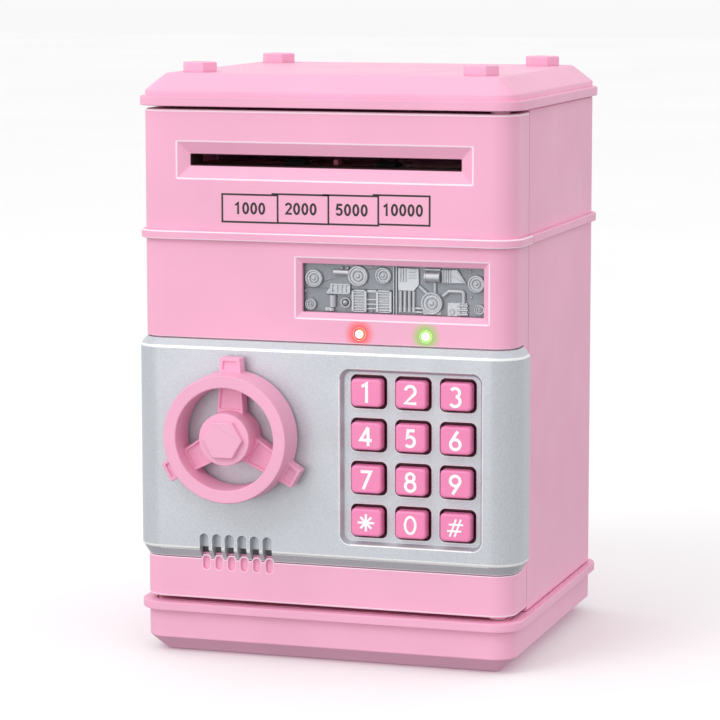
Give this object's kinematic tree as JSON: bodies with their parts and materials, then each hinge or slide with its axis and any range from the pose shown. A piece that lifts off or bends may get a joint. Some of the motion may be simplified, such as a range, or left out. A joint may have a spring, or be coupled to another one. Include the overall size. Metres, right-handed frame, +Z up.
{
  "type": "toy safe coin bank",
  "caption": "Toy safe coin bank with a hinged door, handwheel latch, push-button keypad and banknote slot, in pink plastic with a silver front panel.",
  "frame": {"origin": "centre of the underside of the base", "axes": "+X right, -Y front (door side), +Z up"},
  "size_m": [0.1278, 0.1259, 0.19],
  "materials": {
    "pink_plastic": "satin moulded",
    "key_pink": "satin moulded",
    "silver_plastic": "satin silver",
    "relief_silver": "semi-gloss silver",
    "steel": "plain",
    "brass": "plain",
    "black_rubber": "matte",
    "silicone": "matte",
    "white_plastic": "matte",
    "grey_plastic": "matte",
    "circuit_board": "solder mask",
    "battery_wrap": "printed sleeve, plain",
    "led_red": "lit lens",
    "led_green": "lit lens"
  },
  "bodies": {
    "body": {"base_tray": "pink_plastic", "floor_plate": "pink_plastic", "base_screw_1": "steel", "base_screw_2": "steel", "base_screw_3": "steel", "base_screw_4": "steel", "body_shell": "pink_plastic", "latch_keeper": "steel", "lid": "pink_plastic", "lid_cap_front_left": "pink_plastic", "lid_cap_front_right": "pink_plastic", "lid_cap_back_left": "pink_plastic", "lid_cap_back_right": "pink_plastic", "hinge_pin_upper": "steel", "hinge_pin_lower": "steel"},
    "door": {"door_shell": "pink_plastic", "front_panel": "silver_plastic", "relief_panel": "relief_silver", "led_red": "led_red", "led_green": "led_green", "keypad_membrane": "silicone", "main_pcb": "circuit_board", "speaker": "grey_plastic", "door_back_cover": "pink_plastic", "door_screw_1": "steel", "door_screw_2": "steel", "door_screw_3": "steel", "door_screw_4": "steel", "battery_cover": "pink_plastic", "battery_1": "battery_wrap", "battery_2": "battery_wrap", "battery_3": "battery_wrap", "feed_cover": "pink_plastic", "feed_frame": "white_plastic", "feed_motor": "steel", "lock_solenoid": "grey_plastic"},
    "handwheel": {"handwheel": "pink_plastic", "spindle": "steel", "latch_arm": "steel"},
    "lock_plunger": {"lock_plunger": "steel"},
    "feed_drive": {"feed_shaft": "steel", "feed_roller_left": "black_rubber", "feed_roller_right": "black_rubber", "drive_gear": "white_plastic"},
    "pinch": {"pinch_shaft": "steel", "pinch_roller_left": "black_rubber", "pinch_roller_right": "black_rubber"},
    "motor_pinion": {"motor_pinion": "brass"},
    "key_1": {"key_1": "key_pink"},
    "key_2": {"key_2": "key_pink"},
    "key_3": {"key_3": "key_pink"},
    "key_4": {"key_4": "key_pink"},
    "key_5": {"key_5": "key_pink"},
    "key_6": {"key_6": "key_pink"},
    "key_7": {"key_7": "key_pink"},
    "key_8": {"key_8": "key_pink"},
    "key_9": {"key_9": "key_pink"},
    "key_star": {"key_star": "key_pink"},
    "key_0": {"key_0": "key_pink"},
    "key_hash": {"key_hash": "key_pink"}
  },
  "joints": [
    {"name": "door_hinge", "type": "hinge", "parent": "body", "child": "door", "pos_m": [0.0556, -0.048, 0.0965], "axis": [0, 0, 1], "range_deg": [0, 110]},
    {"name": "handwheel_turn", "type": "hinge", "parent": "door", "child": "handwheel", "pos_m": [-0.0286, -0.05, 0.0728], "axis": [0, 1, 0], "range_deg": [0, 90]},
    {"name": "lock_plunger_slide", "type": "slide", "parent": "door", "child": "lock_plunger", "axis": [0, 1, 0], "range_m": [0, 0.0055], "stiffness_N_per_m": 80},
    {"name": "feed_drive_spin", "type": "hinge", "parent": "door", "child": "feed_drive", "pos_m": [0, -0.034, 0.1532], "axis": [1, 0, 0], "continuous": true},
    {"name": "pinch_spin", "type": "hinge", "parent": "door", "child": "pinch", "pos_m": [0, -0.034, 0.1652], "axis": [1, 0, 0], "continuous": true},
    {"name": "motor_pinion_spin", "type": "hinge", "parent": "door", "child": "motor_pinion", "pos_m": [0, -0.0433, 0.14547], "axis": [1, 0, 0], "continuous": true},
    {"name": "key_1_press", "type": "slide", "parent": "door", "child": "key_1", "axis": [0, 1, 0], "range_m": [0, 0.0015], "stiffness_N_per_m": 200},
    {"name": "key_2_press", "type": "slide", "parent": "door", "child": "key_2", "axis": [0, 1, 0], "range_m": [0, 0.0015], "stiffness_N_per_m": 200},
    {"name": "key_3_press", "type": "slide", "parent": "door", "child": "key_3", "axis": [0, 1, 0], "range_m": [0, 0.0015], "stiffness_N_per_m": 200},
    {"name": "key_4_press", "type": "slide", "parent": "door", "child": "key_4", "axis": [0, 1, 0], "range_m": [0, 0.0015], "stiffness_N_per_m": 200},
    {"name": "key_5_press", "type": "slide", "parent": "door", "child": "key_5", "axis": [0, 1, 0], "range_m": [0, 0.0015], "stiffness_N_per_m": 200},
    {"name": "key_6_press", "type": "slide", "parent": "door", "child": "key_6", "axis": [0, 1, 0], "range_m": [0, 0.0015], "stiffness_N_per_m": 200},
    {"name": "key_7_press", "type": "slide", "parent": "door", "child": "key_7", "axis": [0, 1, 0], "range_m": [0, 0.0015], "stiffness_N_per_m": 200},
    {"name": "key_8_press", "type": "slide", "parent": "door", "child": "key_8", "axis": [0, 1, 0], "range_m": [0, 0.0015], "stiffness_N_per_m": 200},
    {"name": "key_9_press", "type": "slide", "parent": "door", "child": "key_9", "axis": [0, 1, 0], "range_m": [0, 0.0015], "stiffness_N_per_m": 200},
    {"name": "key_star_press", "type": "slide", "parent": "door", "child": "key_star", "axis": [0, 1, 0], "range_m": [0, 0.0015], "stiffness_N_per_m": 200},
    {"name": "key_0_press", "type": "slide", "parent": "door", "child": "key_0", "axis": [0, 1, 0], "range_m": [0, 0.0015], "stiffness_N_per_m": 200},
    {"name": "key_hash_press", "type": "slide", "parent": "door", "child": "key_hash", "axis": [0, 1, 0], "range_m": [0, 0.0015], "stiffness_N_per_m": 200}
  ],
  "couplings": [
    {"joint": "motor_pinion_spin", "follows": "feed_drive_spin", "ratio": -3},
    {"joint": "pinch_spin", "follows": "feed_drive_spin", "ratio": -1.0714}
  ]
}
